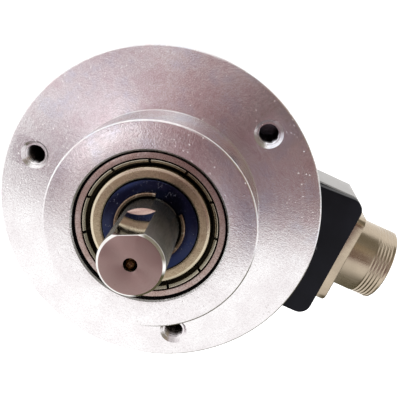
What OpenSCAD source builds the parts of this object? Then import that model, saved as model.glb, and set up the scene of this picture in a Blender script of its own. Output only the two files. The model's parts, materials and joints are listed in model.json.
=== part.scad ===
/* [Flange] */
// Outside diameter of the flange
flange_d = 58; // [56:0.5:60]
// Diameter of the centring collar
collar_d = 36; // [35:0.5:38]
// Height of the centring collar above the flange face
collar_h = 10; // [9.5:0.5:12]
// Thickness of the flange disc
flange_t = 4; // [3:0.5:5]
// Pitch circle diameter of the mounting holes
hole_pcd = 48; // [46:0.5:50]
// Nominal diameter of the mounting threads
hole_d = 4; // [3:0.5:4]

/* [Shaft] */
// Shaft diameter
shaft_d = 10; // [10:0.1:10]
// Height of the shaft end above the flange face
shaft_top = 26; // [20:0.5:32]
// Diameter of the centre hole in the shaft end
centre_hole_d = 2.1; // [1.6:0.1:3]
// Depth of the flat milled along the shaft end
flat_depth = 0.55; // [0.4:0.05:1]
// Length of the flat
flat_len = 11; // [8:0.5:14]

/* [Bearings] */
// Outside diameter of both ball bearings
bearing_d = 26; // [26:0.1:26]
// Width of both ball bearings
bearing_w = 8; // [8:0.1:8]
// Depth of the front bearing below the collar face
bearing_recess = 0.8; // [0.4:0.1:1.2]
// Number of balls in each bearing
ball_count = 7; // [6:1:8]

/* [Housing] */
// Outside diameter of the black housing ring
ring_d = 52; // [51:0.5:53]
// Outside diameter of the grey rear cover
cover_d = 50; // [49:0.5:51]
// Depth of the rear face below the flange face
rear_depth = 45; // [44:0.5:50]
// Depth of the boss front face below the flange face
boss_front = 15.7; // [15:0.1:16.4]
// Width of the connector boss
boss_w = 27.1; // [26:0.1:28]
// Distance of the boss end from the shaft axis
boss_x = 37.3; // [36:0.1:38]

/* [Connector] */
// Depth of the connector axis below the flange face
conn_depth = 28.2; // [28:0.1:28.6]
// Width of the square connector plate
plate_w = 20; // [19:0.5:21]
// Thickness of the square connector plate
plate_t = 2.64; // [2:0.02:3]
// Outside diameter of the connector barrel
barrel_d = 15.74; // [15:0.02:16]
// Length of the connector barrel beyond its plate
barrel_len = 10; // [9:0.5:12]

/* [Hidden] */
$fn = 96;

// Running gap of fitted round parts, on the radius
fit = 0.01;
// How far a cutting solid runs past the face it cuts
cut = 1;

// Flange
collar_edge = 0.4;
rim_edge = 0.3;
pilot_r = 23.5;
hub_end = 12;
pilot_end = 16;
seat_end = 13;
recess_r = 19;
shoulder_top = collar_h - bearing_recess - bearing_w;
shoulder_bottom = -2.8;
shoulder_r = 11;
hole_angles = [60, 180, 300];
hole_depth = 8;
hole_sink_r = 2.35;
bore_edge_h = 0.25;
bore_edge_r = 0.3;
groove_top = hub_end + 0.8;
groove_end = hub_end + 2.4;
groove_in = pilot_r - 1.2;
column_thread = 6.5;
post_thread = 4;

// Bearings
bearing_r = bearing_d / 2;
shaft_r = shaft_d / 2;
front_z = collar_h - bearing_recess - bearing_w / 2;
rear_z = -8;
ball_angles = [for (i = [0 : ball_count - 1]) i * 360 / ball_count];
race_r = 9;
ball_r = 2.381;
groove_r = 2.45;
inner_shoulder_r = 8;
outer_shoulder_r = 10.6;
rebate_r = 11.15;
rebate_d = 0.9;
outer_edge = 0.5;
inner_edge = 0.3;
inner_rim = 0.15;
shield_seat = bearing_w / 2 - rebate_d;
shield_t = 0.2;
shield_in = 8.15;
shield_top = 0.74;
cage_in = 8.25;
cage_out = 9.75;
cage_h = 5.5;
pocket_r = 2.52;
notch_count = 11;
notch_w = 0.4;
notch_start = 14.5;
notch_floor = 0.12;
lip_h = 0.78;
spring_in = 11.3;
spring_out = 12.8;
spring_t = 0.25;
spring_waves = 3;
spring_steps = 72;

// Shaft rings
snap_z = front_z + bearing_w / 2 + 0.05;
snap_h = 0.6;
snap_in = 4.8;
snap_out = 6;
snap_gap_angle = 75;
snap_gap_half = 27;
circlip_z = rear_z - bearing_w / 2 - 1.05;
circlip_t = 1;
circlip_in = 4.65;
circlip_out = 6.4;
circlip_gap_half = 20;
circlip_ear = 28;
circlip_ear_r = 1.5;
circlip_eye_r = 0.6;
groove_gap = 0.05;
shaft_bottom = -21;
shaft_edge = 0.4;
centre_hole_depth = 4;
centre_tip = 1;
grub_dimple = 0.3;
flat_angle = 117;
// the end of the shaft, with the flat, is ground this much thinner
end_relief = 0.01;
end_z = shaft_top - flat_len + 0.2;

// Code disc and optics
hub_top = -13.5;
hub_collar_r = 8;
hub_flange_r = 10.5;
hub_flange_top = -17;
disc_top = -19;
disc_t = 1.1;
disc_r = 17;
clamp_t = 1.2;
hub_bottom = disc_top - disc_t - clamp_t;
grub_z = -15.25;
grub_r = 1;
grub_angles = [0, 90];
grub_key_r = 0.5;
optic_angle = 120;
track_r = 15;
holder_bottom = -18.3;
holder_w = 10;
holder_in = 2.7;
holder_out = 3.3;
holder_r = 17.6;
led_base = -14.3;
led_r = 1.5;
led_h = 1.4;
lead_r = 0.25;
lead_half = 1.1;
lead_out = 2.9;
lead_rise = 0.6;
lens_r = 2.2;
lens_t = 0.9;
chip_t = 1.6;
reticle_t = 0.7;

// Boards
board_r = 22.6;
board_t = 1.6;
scan_top = -23;
main_top = -30;
post_r = 21;
post_angles = [30, 150, 270];
post_w = 3.5;
post_hole_r = 1;
column_r = 20.7;
column_size = 3;
column_gap = 0.5;
header_x = -8;
header_y = 9;
header_w = 10.2;
header_d = 2.5;
header_pitch = 2.54;
header_pin_r = 0.32;
header_hole_r = 0.35;
can_r = 2.5;
can_h = 5;
can_base = 0.4;
small_screw_r = 0.95;
small_head_r = 1.7;
small_head_h = 1.2;
small_key_r = 0.7;

// Housing and cover
wall = 2;
lip_t = 2.5;
gasket_t = 0.5;
gasket_inset = 0.3;
joint_z = -boss_front - lip_t;
cover_top = joint_z - gasket_t;
boss_r = boss_w / 2;
boss_edge = 2.5;
boss_end_wall = 5;
conn_hole_r = 7;
cover_edge = 2.5;
screw_head_r = 2.75;
screw_head_h = 2;
screw_r = 1.5;
screw_key_d = 2.89;
screw_key_depth = 1.2;
screw_top = -10;
sink_depth = 2.5;
seal_section = 0.58;

// Connector
conn_z = -conn_depth;
plate_edge = 2;
barrel_bore = 6.6;
rim_chamfer = 0.3;
insert_start = 37.6;
insert_end = 42.5;
pin_r = 0.5;
pin_start = 33.6;
pin_end = 45.2;
pin_tip = 0.3;
outer_pins = 9;
outer_pin_r = 4.6;
inner_pins = 3;
inner_pin_r = 1.8;
plate_screw = 7.5;
plate_screw_r = 1.1;
plate_hole_r = 1.3;
plate_sink_r = 2.4;
plate_sink = 1.2;
seal_r = 8.4;
seal_inset = 0.5;
seal_channel = 0.7;
contact_board_r = 6.4;
contact_board_t = 1.2;
socket_x = 15.5;
socket_h = 2.4;
cable_w = 8;
cable_t = 0.3;
cable_steps = 24;
cable_start = 20;
cable_end = 34;
cable_sag = 1.6;

// Places a child at each angle on a circle of radius r
module around(angles, r = 0) {
    for (a = angles)
        rotate([0, 0, a])
            translate([r, 0, 0])
                children();
}

// A tube between two heights
module tube(r_in, r_out, z_low, z_high) {
    translate([0, 0, z_low])
        difference() {
            cylinder(r = r_out, h = z_high - z_low);
            translate([0, 0, -cut])
                cylinder(r = r_in, h = z_high - z_low + 2 * cut);
        }
}

// A bar along X between two places
module x_rod(r, x_low, x_high) {
    translate([x_low, 0, 0])
        rotate([0, 90, 0])
            cylinder(r = r, h = x_high - x_low);
}

module flange() {
    color([0.82, 0.81, 0.82])
        difference() {
            rotate_extrude()
                polygon([
                    [shoulder_r, shoulder_bottom],
                    [shoulder_r, shoulder_top],
                    [bearing_r + fit, shoulder_top],
                    [bearing_r + fit, collar_h - bore_edge_h],
                    [bearing_r + bore_edge_r, collar_h],
                    [collar_d / 2 - collar_edge, collar_h],
                    [collar_d / 2, collar_h - collar_edge],
                    [collar_d / 2, 0],
                    [flange_d / 2 - rim_edge, 0],
                    [flange_d / 2, -rim_edge],
                    [flange_d / 2, -flange_t + rim_edge],
                    [flange_d / 2 - rim_edge, -flange_t],
                    [ring_d / 2, -flange_t],
                    [ring_d / 2, -hub_end],
                    [pilot_r, -hub_end],
                    [pilot_r, -groove_top],
                    [groove_in, -groove_top],
                    [groove_in, -groove_end],
                    [pilot_r, -groove_end],
                    [pilot_r, -pilot_end],
                    [recess_r, -pilot_end],
                    [recess_r, -seat_end],
                    [bearing_r + fit, -seat_end],
                    [bearing_r + fit, shoulder_bottom]
                ]);
            around(hole_angles, hole_pcd / 2) {
                translate([0, 0, -hole_depth])
                    cylinder(r = hole_d / 2, h = hole_depth + cut);
                translate([0, 0, hole_d / 2 - hole_sink_r])
                    cylinder(r1 = hole_d / 2, r2 = hole_sink_r + cut, h = hole_sink_r - hole_d / 2 + cut);
            }
            around(hole_angles, column_r)
                translate([0, 0, -pilot_end - cut])
                    cylinder(r = screw_r, h = column_thread + cut);
            around(post_angles, post_r)
                translate([0, 0, -pilot_end - cut])
                    cylinder(r = post_hole_r, h = post_thread + cut);
        }
}

module shaft() {
    color([0.78, 0.78, 0.8])
        difference() {
            rotate_extrude()
                polygon([
                    [0, shaft_bottom],
                    [shaft_r - shaft_edge, shaft_bottom],
                    [shaft_r, shaft_bottom + shaft_edge],
                    [shaft_r, circlip_z - groove_gap],
                    [circlip_in - groove_gap, circlip_z - groove_gap],
                    [circlip_in - groove_gap, circlip_z + circlip_t + groove_gap],
                    [shaft_r, circlip_z + circlip_t + groove_gap],
                    [shaft_r, snap_z - groove_gap],
                    [snap_in - groove_gap, snap_z - groove_gap],
                    [snap_in - groove_gap, snap_z + snap_h + groove_gap],
                    [shaft_r, snap_z + snap_h + groove_gap],
                    [shaft_r, end_z],
                    [shaft_r - end_relief, end_z],
                    [shaft_r - end_relief, shaft_top - shaft_edge],
                    [shaft_r - shaft_edge, shaft_top],
                    [0, shaft_top]
                ]);
            translate([0, 0, shaft_top - centre_hole_depth])
                cylinder(d = centre_hole_d, h = centre_hole_depth + cut);
            translate([0, 0, shaft_top - centre_hole_depth - centre_tip])
                cylinder(d1 = 0.1 * centre_hole_d, d2 = centre_hole_d, h = centre_tip);
            rotate([0, 0, flat_angle])
                translate([shaft_r - flat_depth, -shaft_r, shaft_top - flat_len])
                    cube([shaft_r, 2 * shaft_r, flat_len + cut]);
            around(grub_angles)
                translate([0, 0, grub_z])
                    x_rod(grub_r, shaft_r - grub_dimple, shaft_r + cut);
        }
}

// A split ring round the shaft, open over twice half degrees at angle a
module split_ring(r_in, r_out, z, h, a, half) {
    rotate([0, 0, a + half])
        translate([0, 0, z])
            rotate_extrude(angle = 360 - 2 * half)
                translate([r_in, 0])
                    square([r_out - r_in, h]);
}

module shaft_snap_ring() {
    color([0.72, 0.64, 0.56])
        split_ring(snap_in, snap_out, snap_z, snap_h, snap_gap_angle, snap_gap_half);
}

module shaft_circlip() {
    color([0.2, 0.2, 0.2])
        difference() {
            union() {
                split_ring(circlip_in, circlip_out, circlip_z, circlip_t, 0, circlip_gap_half);
                around([-circlip_ear, circlip_ear], circlip_out)
                    translate([0, 0, circlip_z])
                        cylinder(r = circlip_ear_r, h = circlip_t);
            }
            around([-circlip_ear, circlip_ear], circlip_out)
                translate([0, 0, circlip_z - cut])
                    cylinder(r = circlip_eye_r, h = circlip_t + 2 * cut);
            translate([0, 0, circlip_z - cut])
                cylinder(r = circlip_in, h = circlip_t + 2 * cut);
        }
}

module outer_ring(z) {
    half = bearing_w / 2;
    translate([0, 0, z])
        color([0.62, 0.55, 0.53])
            difference() {
                rotate_extrude()
                    polygon([
                        [outer_shoulder_r, -half + rebate_d],
                        [rebate_r, -half + rebate_d],
                        [rebate_r, -half],
                        [bearing_r - outer_edge, -half],
                        [bearing_r, -half + outer_edge],
                        [bearing_r, half - outer_edge],
                        [bearing_r - outer_edge, half],
                        [rebate_r, half],
                        [rebate_r, half - rebate_d],
                        [outer_shoulder_r, half - rebate_d]
                    ]);
                race_groove();
            }
}

module inner_ring(z) {
    half = bearing_w / 2;
    translate([0, 0, z])
        color([0.12, 0.14, 0.26])
            difference() {
                rotate_extrude()
                    polygon([
                        [shaft_r + fit, -half + inner_edge],
                        [shaft_r + fit + inner_edge, -half],
                        [inner_shoulder_r - inner_rim, -half],
                        [inner_shoulder_r, -half + inner_rim],
                        [inner_shoulder_r, half - inner_rim],
                        [inner_shoulder_r - inner_rim, half],
                        [shaft_r + fit + inner_edge, half],
                        [shaft_r + fit, half - inner_edge]
                    ]);
                race_groove();
            }
}

// The space the balls roll in
module race_groove() {
    rotate_extrude()
        translate([race_r, 0])
            circle(r = groove_r);
}

module balls(z) {
    color([0.85, 0.85, 0.88])
        translate([0, 0, z])
            around(ball_angles, race_r)
                sphere(r = ball_r);
}

module cage(z) {
    color([0.7, 0.62, 0.4])
        translate([0, 0, z])
            difference() {
                tube(cage_in, cage_out, -cage_h / 2, cage_h / 2);
                around(ball_angles)
                    x_rod(pocket_r, cage_in - cut, cage_out + cut);
            }
}

// One pressed shield: a domed ring inside, a deep groove, and a flat rim in the outer ring's rebate
module shield() {
    rim = rebate_r - 0.05;
    groove = 10.25;
    shoulder = 9.7;
    crown = 9.2;
    translate([0, 0, shield_seat])
        rotate_extrude()
            polygon([
                [rim, 0],
                [rim, shield_t],
                [groove, shield_t],
                [groove - 0.2, 0.5],
                [shoulder, shield_top - 0.06],
                [crown, shield_top],
                [shield_in + 0.2, shield_top],
                [shield_in, shield_top - 0.1],
                [shield_in, shield_top - shield_t],
                [crown, shield_top - shield_t],
                [shoulder - 0.1, shield_top - shield_t - 0.08],
                [groove - 0.4, 0.3],
                [groove - 0.2, 0]
            ]);
}

// One notched ring that holds a shield in its rebate, flaring outwards to its rim
module shield_ring() {
    foot = shield_seat + shield_t;
    difference() {
        rotate_extrude()
            polygon([
                [10.45, foot],
                [10.8, foot],
                [rebate_r - 0.05, foot + lip_h - shield_t],
                [rebate_r - 0.25, foot + lip_h - shield_t]
            ]);
        around([for (i = [0 : notch_count - 1]) notch_start + i * 360 / notch_count], 10.3)
            translate([0, -notch_w / 2, foot + notch_floor])
                cube([1, notch_w, 1]);
    }
}

// A pair facing both ways out of a bearing at height z
module both_sides(z) {
    translate([0, 0, z]) {
        children();
        rotate([180, 0, 0])
            children();
    }
}

module front_bearing_outer_ring() { outer_ring(front_z); }
module front_bearing_inner_ring() { inner_ring(front_z); }
module front_bearing_balls() { balls(front_z); }
module front_bearing_cage() { cage(front_z); }
module front_bearing_shields() { color([0.7, 0.6, 0.42]) both_sides(front_z) shield(); }
module front_bearing_shield_rings() { color([0.8, 0.76, 0.66]) both_sides(front_z) shield_ring(); }
module rear_bearing_outer_ring() { outer_ring(rear_z); }
module rear_bearing_inner_ring() { inner_ring(rear_z); }
module rear_bearing_balls() { balls(rear_z); }
module rear_bearing_cage() { cage(rear_z); }
module rear_bearing_shields() { color([0.7, 0.6, 0.42]) both_sides(rear_z) shield(); }
module rear_bearing_shield_rings() { color([0.8, 0.76, 0.66]) both_sides(rear_z) shield_ring(); }

// A washer with three waves, squeezed between the flange shoulder and the rear bearing
module wave_spring() {
    t = spring_t / 2;
    mid = (shoulder_bottom + rear_z + bearing_w / 2) / 2;
    rise = (shoulder_bottom - rear_z - bearing_w / 2) / 2 - t - 2 * fit;
    corners = [[spring_in, -t], [spring_out, -t], [spring_out, t], [spring_in, t]];
    points = [for (i = [0 : spring_steps - 1]) let (a = i * 360 / spring_steps) for (c = corners)
        [c[0] * cos(a), c[0] * sin(a), mid + rise * cos(spring_waves * a) + c[1]]];
    faces = [for (i = [0 : spring_steps - 1]) for (k = [0 : 3])
        let (j = (i + 1) % spring_steps, m = (k + 1) % 4)
        [i * 4 + k, i * 4 + m, j * 4 + m, j * 4 + k]];
    color([0.6, 0.6, 0.6])
        polyhedron(points = points, faces = faces, convexity = 4);
}

module disc_hub() {
    color([0.8, 0.8, 0.8])
        difference() {
            rotate_extrude()
                polygon([
                    [shaft_r + fit, hub_top],
                    [hub_collar_r, hub_top],
                    [hub_collar_r, hub_flange_top],
                    [hub_flange_r, hub_flange_top],
                    [hub_flange_r, disc_top],
                    [hub_collar_r, disc_top],
                    [hub_collar_r, hub_bottom],
                    [shaft_r + fit, hub_bottom]
                ]);
            around(grub_angles)
                translate([0, 0, grub_z])
                    x_rod(grub_r, shaft_r - cut, hub_collar_r + cut);
        }
}

module hub_grub_screws() {
    color([0.15, 0.15, 0.16])
        around(grub_angles)
            translate([0, 0, grub_z])
                difference() {
                    x_rod(grub_r - 2 * fit, shaft_r - grub_dimple + 0.05, hub_collar_r - 0.1);
                    translate([hub_collar_r - 1, 0, 0])
                        rotate([0, 90, 0])
                            cylinder(r = grub_key_r, h = 1 + cut, $fn = 6);
                }
}

module code_disc() {
    color([0.75, 0.85, 0.85, 0.5])
        tube(hub_collar_r + fit, disc_r, disc_top - disc_t, disc_top);
}

module disc_clamp_ring() {
    color([0.75, 0.75, 0.75])
        tube(hub_collar_r + fit, hub_flange_r, hub_bottom, disc_top - disc_t);
}

// Places a child over the disc track
module at_track() {
    rotate([0, 0, optic_angle])
        translate([track_r, 0, 0])
            children();
}

module led_holder() {
    color([0.1, 0.1, 0.1])
        difference() {
            intersection() {
                at_track()
                    translate([-holder_in, -holder_w / 2, holder_bottom])
                        cube([holder_in + holder_out, holder_w, -seat_end - holder_bottom]);
                cylinder(r = holder_r, h = 2 * rear_depth, center = true);
            }
            at_track()
                translate([0, 0, holder_bottom - cut]) {
                    cylinder(r = led_r + 3 * fit, h = 10);
                    cylinder(r = lens_r + 3 * fit, h = cut + lens_t + 0.3);
                }
            at_track()
                translate([-0.5, -lead_half - 0.6, led_base - 0.3])
                    cube([5, 2 * (lead_half + 0.6), 2]);
        }
}

module led() {
    dome_r = led_r - 0.05;
    bend_z = led_base + lead_rise;
    color([0.9, 0.2, 0.2])
        at_track() {
            translate([0, 0, led_base - led_h])
                cylinder(r = led_r, h = led_h);
            translate([0, 0, led_base - led_h])
                difference() {
                    sphere(r = dome_r);
                    translate([-2 * dome_r, -2 * dome_r, 0])
                        cube(4 * dome_r);
                }
            for (y = [-lead_half, lead_half]) {
                translate([0, y, led_base])
                    cylinder(r = lead_r, h = lead_rise);
                translate([0, y, bend_z])
                    x_rod(lead_r, -lead_r, lead_out + lead_r);
                translate([lead_out, y, scan_top - board_t])
                    cylinder(r = lead_r, h = bend_z - scan_top + board_t);
            }
        }
}

module condenser_lens() {
    color([0.85, 0.9, 0.95, 0.5])
        at_track()
            translate([0, 0, holder_bottom + 0.1])
                cylinder(r = lens_r, h = lens_t);
}

module reticle() {
    color([0.7, 0.85, 0.8, 0.5])
        at_track()
            translate([-2, -2.5, scan_top + chip_t])
                cube([4, 5, reticle_t]);
}

module sensor_chip() {
    color([0.12, 0.12, 0.14])
        at_track()
            translate([-2.5, -3, scan_top])
                cube([5, 6, chip_t]);
}

// A round board with cut-outs for the cover's screw columns and holes for the posts
module round_board(top) {
    color([0.05, 0.35, 0.2])
        difference() {
            translate([0, 0, top - board_t])
                cylinder(r = board_r, h = board_t);
            around(hole_angles, column_r)
                translate([0, 0, top - board_t - cut])
                    cylinder(r = column_size + column_gap, h = board_t + 2 * cut);
            around(post_angles, post_r)
                translate([0, 0, top - board_t - cut])
                    cylinder(r = post_hole_r + 0.05, h = board_t + 2 * cut);
            children();
        }
}

module scanning_board() {
    round_board(scan_top)
        at_track()
            for (y = [-lead_half, lead_half])
                translate([lead_out, y, scan_top - board_t - cut])
                    cylinder(r = lead_r + 0.05, h = board_t + 2 * cut);
}

module main_board() {
    round_board(main_top)
        header_pins(header_hole_r, main_top - board_t - cut, main_top + cut);
}

// The header's pins between two heights
module header_pins(r, z_low, z_high) {
    for (i = [0 : 3])
        translate([header_x + (i + 0.5) * header_pitch, header_y + header_d / 2, z_low])
            cylinder(r = r, h = z_high - z_low, $fn = 24);
}

// A chip body with legs on two sides, standing on the plane z = 0
module chip(w, d, h, legs) {
    translate([-w / 2, -d / 2, 0.15])
        cube([w, d, h]);
    for (i = [0 : legs - 1], s = [-1, 1])
        translate([-w / 2 + (i + 0.5) * w / legs, s * (d / 2 + 0.35), 0.3])
            cube([0.4, 1, 0.6], center = true);
}

module signal_chips() {
    color([0.08, 0.08, 0.09])
        for (p = [[-3, -14, 0], [13, 2, 90]])
            translate([p[0], p[1], scan_top - board_t])
                rotate([180, 0, p[2]])
                    chip(5, 4, 1.4, 4);
}

module line_drivers() {
    color([0.08, 0.08, 0.09])
        for (p = [[-12, -4], [-2, 4]])
            translate([p[0], p[1], main_top - board_t])
                rotate([180, 0, 0])
                    chip(8, 4, 1.5, 8);
}

module capacitors() {
    color([0.75, 0.75, 0.78])
        for (p = [[10, -8], [2, -13]])
            translate([p[0], p[1], main_top - board_t - can_h - can_base]) {
                cylinder(r = can_r, h = can_h);
                translate([-can_r - 0.1, -can_r - 0.1, can_h])
                    cube([2 * can_r + 0.2, 2 * can_r + 0.2, can_base]);
            }
}

module board_header() {
    color([0.1, 0.1, 0.1]) {
        translate([header_x, header_y, main_top])
            cube([header_w, header_d, scan_top - board_t - main_top]);
        header_pins(header_pin_r, main_top - board_t - 1, main_top + 0.1);
    }
}

// Hexagonal posts between two heights
module posts(z_low, z_high) {
    color([0.75, 0.68, 0.45])
        around(post_angles, post_r)
            difference() {
                translate([0, 0, z_low])
                    cylinder(d = post_w, h = z_high - z_low, $fn = 6);
                translate([0, 0, z_low - cut])
                    cylinder(r = post_hole_r, h = z_high - z_low + 2 * cut);
            }
}

module front_standoffs() { posts(scan_top, -pilot_end); }
module rear_standoffs() { posts(main_top, scan_top - board_t); }

module board_screws() {
    low = main_top - board_t;
    color([0.7, 0.7, 0.72])
        around(post_angles, post_r)
            difference() {
                union() {
                    translate([0, 0, low])
                        cylinder(r = small_screw_r, h = post_thread - 0.5 - pilot_end - low);
                    translate([0, 0, low - small_head_h])
                        cylinder(r = small_head_r, h = small_head_h);
                }
                translate([0, 0, low - small_head_h - cut])
                    cylinder(r = small_key_r, h = 2 * small_head_h / 3 + cut, $fn = 6);
            }
}

// Outline of the connector boss seen along the shaft, grown by g
module boss_plan(g = 0) {
    r = boss_edge;
    x = boss_x + g - r;
    y = boss_r + g - r;
    translate([0, -y])
        square([boss_x + g, 2 * y]);
    translate([0, -y - r])
        square([x, 2 * (y + r)]);
    for (s = [-1, 1])
        translate([x, s * y])
            circle(r = r);
}

// Outline of the housing seen along the shaft, with its ring radius
module housing_plan(r, g = 0) {
    circle(r = r);
    boss_plan(g);
}

// Boss solid: flat front, straight sides and a half-round back, grown by g
module boss_body(g, x_end, z_high) {
    intersection() {
        rotate([90, 0, 90])
            linear_extrude(x_end) {
                translate([0, conn_z])
                    circle(r = boss_r + g);
                translate([-boss_r - g, conn_z])
                    square([2 * (boss_r + g), z_high - conn_z]);
            }
        translate([0, 0, -rear_depth])
            linear_extrude(rear_depth + z_high)
                boss_plan(g);
    }
}

module connector_housing() {
    color([0.08, 0.08, 0.09])
        difference() {
            union() {
                translate([0, 0, joint_z])
                    cylinder(d = ring_d, h = -hub_end - joint_z);
                translate([0, 0, joint_z])
                    linear_extrude(lip_t)
                        boss_plan();
            }
            translate([0, 0, joint_z - cut])
                cylinder(r = pilot_r + 2 * fit, h = rear_depth);
        }
}

module housing_o_ring() {
    color([0.05, 0.05, 0.05])
        translate([0, 0, -(groove_top + groove_end) / 2])
            rotate_extrude()
                translate([pilot_r - seal_section - 2 * fit, 0])
                    circle(r = seal_section, $fn = 32);
}

// Plan of the space inside the cover and its boss
module inside_plan() {
    circle(d = cover_d - 2 * wall);
    translate([0, -boss_r + wall])
        square([boss_x - boss_end_wall, 2 * (boss_r - wall)]);
}

module cover_gasket() {
    color([0.06, 0.06, 0.06])
        translate([0, 0, cover_top])
            linear_extrude(gasket_t)
                difference() {
                    housing_plan(cover_d / 2 - gasket_inset, -gasket_inset);
                    inside_plan();
                }
}

module rear_cover() {
    color([0.69, 0.68, 0.67])
        difference() {
            union() {
                rotate_extrude()
                    union() {
                        square_from(0, -rear_depth, cover_d / 2 - cover_edge, cover_top);
                        square_from(0, -rear_depth + cover_edge, cover_d / 2, cover_top);
                        intersection() {
                            translate([cover_d / 2 - cover_edge, -rear_depth + cover_edge])
                                circle(r = cover_edge);
                            square_from(0, -rear_depth, cover_d / 2, cover_top);
                        }
                    }
                boss_body(0, boss_x, cover_top);
            }
            difference() {
                union() {
                    translate([0, 0, -rear_depth + wall])
                        cylinder(d = cover_d - 2 * wall, h = rear_depth);
                    boss_body(-wall, boss_x - boss_end_wall, 0);
                }
                around(hole_angles, column_r)
                    translate([0, 0, -rear_depth])
                        cylinder(r = column_size, h = rear_depth);
            }
            around(hole_angles, column_r) {
                translate([0, 0, -rear_depth - cut])
                    cylinder(r = screw_r + 0.1, h = rear_depth);
                translate([0, 0, -rear_depth - cut])
                    cylinder(r = screw_head_r + 0.05, h = sink_depth + cut);
            }
            translate([0, 0, conn_z]) {
                x_rod(conn_hole_r, boss_x - boss_end_wall - cut, boss_x + cut);
                translate([boss_x - 2 * seal_inset, 0, 0])
                    rotate([0, 90, 0])
                        tube(seal_r - seal_channel, seal_r + seal_channel, 0, 2 * seal_inset + cut);
                for (y = [-1, 1], z = [-1, 1])
                    translate([0, y * plate_screw, z * plate_screw])
                        x_rod(plate_screw_r, boss_x - boss_end_wall - cut, boss_x + cut);
            }
        }
}

// A rectangle given by two corners
module square_from(x0, y0, x1, y1) {
    translate([x0, y0])
        square([x1 - x0, y1 - y0]);
}

module cover_screws() {
    head = -rear_depth + sink_depth;
    color([0.75, 0.75, 0.76])
        around(hole_angles, column_r)
            difference() {
                union() {
                    translate([0, 0, head])
                        cylinder(r = screw_r - 2 * fit, h = screw_top - head);
                    translate([0, 0, head - screw_head_h])
                        cylinder(r = screw_head_r, h = screw_head_h);
                }
                translate([0, 0, head - screw_head_h - cut])
                    cylinder(d = screw_key_d, h = screw_key_depth + cut, $fn = 6);
            }
}

module plate_outline() {
    half = plate_w / 2 - plate_edge;
    square([plate_w, 2 * half], center = true);
    square([2 * half, plate_w], center = true);
    for (y = [-1, 1], z = [-1, 1])
        translate([y * half, z * half])
            circle(r = plate_edge);
}

module connector_shell() {
    color([0.68, 0.62, 0.54])
        translate([boss_x, 0, conn_z])
            rotate([90, 0, 90])
                difference() {
                    union() {
                        linear_extrude(plate_t)
                            plate_outline();
                        cylinder(d = barrel_d, h = plate_t + barrel_len - rim_chamfer);
                        translate([0, 0, plate_t + barrel_len - rim_chamfer])
                            cylinder(d1 = barrel_d, d2 = barrel_d - 2 * rim_chamfer, h = rim_chamfer);
                    }
                    translate([0, 0, -cut])
                        cylinder(r = barrel_bore, h = plate_t + barrel_len + 2 * cut);
                    for (y = [-1, 1], z = [-1, 1])
                        translate([y * plate_screw, z * plate_screw, 0]) {
                            translate([0, 0, -cut])
                                cylinder(r = plate_hole_r, h = plate_t + 2 * cut);
                            translate([0, 0, plate_t - plate_sink])
                                cylinder(r1 = plate_hole_r, r2 = plate_sink_r, h = plate_sink);
                            translate([0, 0, plate_t - fit])
                                cylinder(r = plate_sink_r, h = cut);
                        }
                }
}

// Places the connector's contacts, children standing along X
module contact_places() {
    translate([0, 0, conn_z]) {
        for (i = [0 : outer_pins - 1])
            rotate([i * 360 / outer_pins, 0, 0])
                translate([0, 0, outer_pin_r])
                    children();
        for (i = [0 : inner_pins - 1])
            rotate([60 + i * 360 / inner_pins, 0, 0])
                translate([0, 0, inner_pin_r])
                    children();
    }
}

module connector_insert() {
    color([0.1, 0.1, 0.1])
        difference() {
            translate([0, 0, conn_z])
                x_rod(barrel_bore - fit, insert_start, insert_end);
            contact_places()
                x_rod(pin_r + fit, insert_start - cut, insert_end + cut);
        }
}

module connector_pins() {
    color([0.85, 0.7, 0.35])
        contact_places() {
            x_rod(pin_r, pin_start, pin_end - pin_tip);
            translate([pin_end - pin_tip, 0, 0])
                rotate([0, 90, 0])
                    cylinder(r1 = pin_r, r2 = pin_r / 2, h = pin_tip);
        }
}

module connector_o_ring() {
    color([0.05, 0.05, 0.05])
        translate([boss_x - seal_inset, 0, conn_z])
            rotate([0, 90, 0])
                rotate_extrude()
                    translate([seal_r, 0])
                        circle(r = seal_inset - fit, $fn = 32);
}

module connector_screws() {
    color([0.75, 0.75, 0.76])
        for (y = [-1, 1], z = [-1, 1])
            translate([0, y * plate_screw, conn_z + z * plate_screw])
                difference() {
                    union() {
                        x_rod(plate_screw_r - 2 * fit, boss_x - boss_end_wall + 0.5, boss_x + plate_t - 1.1);
                        translate([boss_x + plate_t - plate_sink - 0.05, 0, 0])
                            rotate([0, 90, 0])
                                cylinder(r1 = plate_screw_r, r2 = 2 * plate_screw_r, h = plate_sink);
                    }
                    translate([boss_x + plate_t - 0.85, 0, 0])
                        rotate([0, 90, 0])
                            cylinder(r = 0.85, h = 2, $fn = 6);
                }
}

module connector_board() {
    color([0.05, 0.35, 0.2])
        difference() {
            translate([0, 0, conn_z])
                x_rod(contact_board_r, cable_end, cable_end + contact_board_t);
            contact_places()
                x_rod(pin_r + fit, cable_end - cut, cable_end + contact_board_t + cut);
        }
}

// Height of the flat cable at distance x from the shaft axis, with one slack wave
function cable_z(x) =
    let (share = (x - cable_start) / (cable_end - cable_start))
    conn_z - 0.6 - cable_sag * (1 - cos(360 * share)) / 2;

module flat_cable() {
    xs = [for (i = [0 : cable_steps]) cable_start + (cable_end - cable_start) * i / cable_steps];
    top = [for (x = xs) [x, cable_z(x) + cable_t / 2]];
    low = [for (i = [cable_steps : -1 : 0]) [xs[i], cable_z(xs[i]) - cable_t / 2]];
    color([0.85, 0.85, 0.8])
        translate([0, cable_w / 2, 0])
            rotate([90, 0, 0])
                linear_extrude(cable_w)
                    polygon(concat(top, low));
}

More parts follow.
